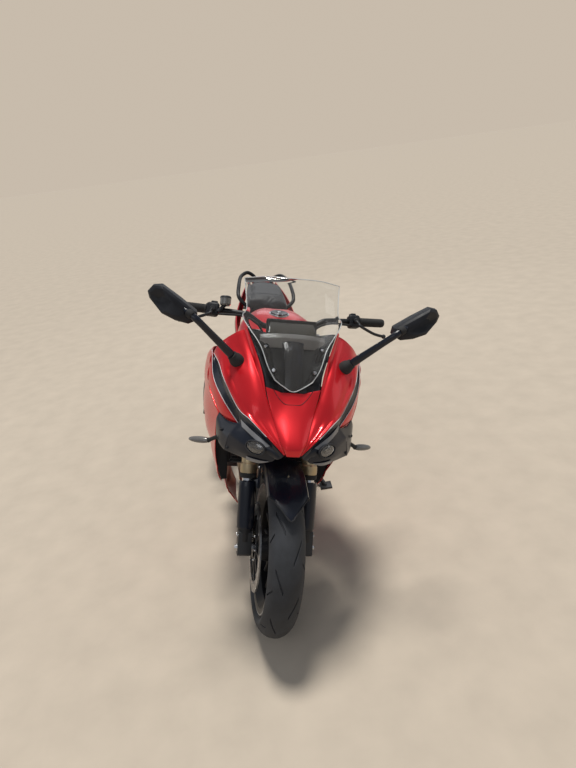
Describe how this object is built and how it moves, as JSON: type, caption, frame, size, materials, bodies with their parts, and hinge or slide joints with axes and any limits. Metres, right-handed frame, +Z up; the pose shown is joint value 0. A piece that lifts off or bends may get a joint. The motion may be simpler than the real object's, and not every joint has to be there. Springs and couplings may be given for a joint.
{
  "type": "sport touring motorcycle",
  "caption": "Faired sport touring motorcycle leaning on its side stand, with turning wheels and fork, folding stand and hinged fuel cap.",
  "frame": {"origin": "centre of the bounding box on the floor, as it leans on its side stand", "axes": "+Z up, +Y to its rear along its length, +X to its left, the side it leans to"},
  "size_m": [0.9542, 2.1487, 1.2692],
  "materials": {
    "red_paint": "deep metallic red, clear coated",
    "black_frame": "satin black",
    "black_plastic": "fine grained black",
    "engine_metal": "dark cast, satin",
    "radiator_metal": "black core",
    "exhaust_steel": "heat tinted steel",
    "muffler_black": "satin black with a brushed end",
    "fork_gold": "gold anodised",
    "steel": "bright steel",
    "cap_metal": "satin",
    "chain_steel": "oiled steel",
    "shock": "black coil",
    "caliper_black": "gloss black",
    "rim_black": "satin black",
    "tyre_rubber": "worn black tread",
    "grip_rubber": "ribbed",
    "seat_cover": "grained black cover",
    "screen_clear": "clear, faint tint",
    "lamp_glass": "clear lens",
    "smoke_lens": "smoked lens",
    "red_lens": "red lens",
    "mirror_face": "silvered"
  },
  "bodies": {
    "frame": {"main_frame": "black_frame", "subframe": "black_frame", "engine": "engine_metal", "engine_covers": "engine_metal", "radiator": "radiator_metal", "exhaust": "exhaust_steel", "muffler": "muffler_black", "swingarm": "black_frame", "rear_axle": "steel", "rear_shock": "shock", "chain": "chain_steel", "chain_guard": "black_plastic", "rear_caliper": "caliper_black", "nose_cowl": "red_paint", "upper_cowls": "red_paint", "side_cowls": "red_paint", "lamp_cowls": "black_plastic", "windscreen": "screen_clear", "dash": "black_plastic", "fuel_tank": "red_paint", "tail_cowls": "red_paint", "tail_tray": "black_plastic", "headlamps": "lamp_glass", "grab_rails": "black_frame", "tail_light": "red_lens", "plate_holder": "black_plastic", "under_cowls": "red_paint", "mirrors": "black_plastic", "mirror_glass": "mirror_face", "rider_seat": "seat_cover", "pillion_seat": "seat_cover", "turn_signals": "smoke_lens", "footpegs": "black_frame", "foot_levers": "black_frame"},
    "steering": {"fork_tubes": "fork_gold", "fork_legs": "black_frame", "triple_clamps": "black_frame", "front_axle": "steel", "front_fender": "black_plastic", "front_calipers": "caliper_black", "handlebar": "black_frame", "grips": "grip_rubber", "hand_controls": "black_plastic"},
    "front_wheel": {"front_tyre": "tyre_rubber", "front_rim": "rim_black", "front_discs": "steel"},
    "rear_wheel": {"rear_tyre": "tyre_rubber", "rear_rim": "rim_black", "rear_disc": "steel", "rear_sprocket": "steel"},
    "side_stand": {"side_stand": "black_frame"},
    "fuel_cap": {"fuel_cap": "cap_metal"}
  },
  "joints": [
    {"name": "steering", "type": "hinge", "parent": "frame", "child": "steering", "pos_m": [-0.19559, -0.74174, 0.27887], "axis": [0.2125, 0.4215, 0.8816], "range_deg": [-33.2, 28.8]},
    {"name": "front_wheel_spin", "type": "hinge", "parent": "steering", "child": "front_wheel", "pos_m": [-0.19066, -0.7745, 0.29334], "axis": [0.9676, 0.0351, -0.25], "continuous": true},
    {"name": "rear_wheel_spin", "type": "hinge", "parent": "frame", "child": "rear_wheel", "pos_m": [-0.18942, 0.68541, 0.30616], "axis": [0.9721, 0.0003, -0.2345], "continuous": true},
    {"name": "side_stand_fold", "type": "hinge", "parent": "frame", "child": "side_stand", "pos_m": [-0.03998, 0.09549, 0.24265], "axis": [0.8357, -0.1108, 0.538], "range_deg": [0, 112.2]},
    {"name": "fuel_cap_lid", "type": "hinge", "parent": "frame", "child": "fuel_cap", "pos_m": [-0.02553, -0.18042, 0.98462], "axis": [0.9721, 0.0003, -0.2345], "range_deg": [0, 100]}
  ]
}
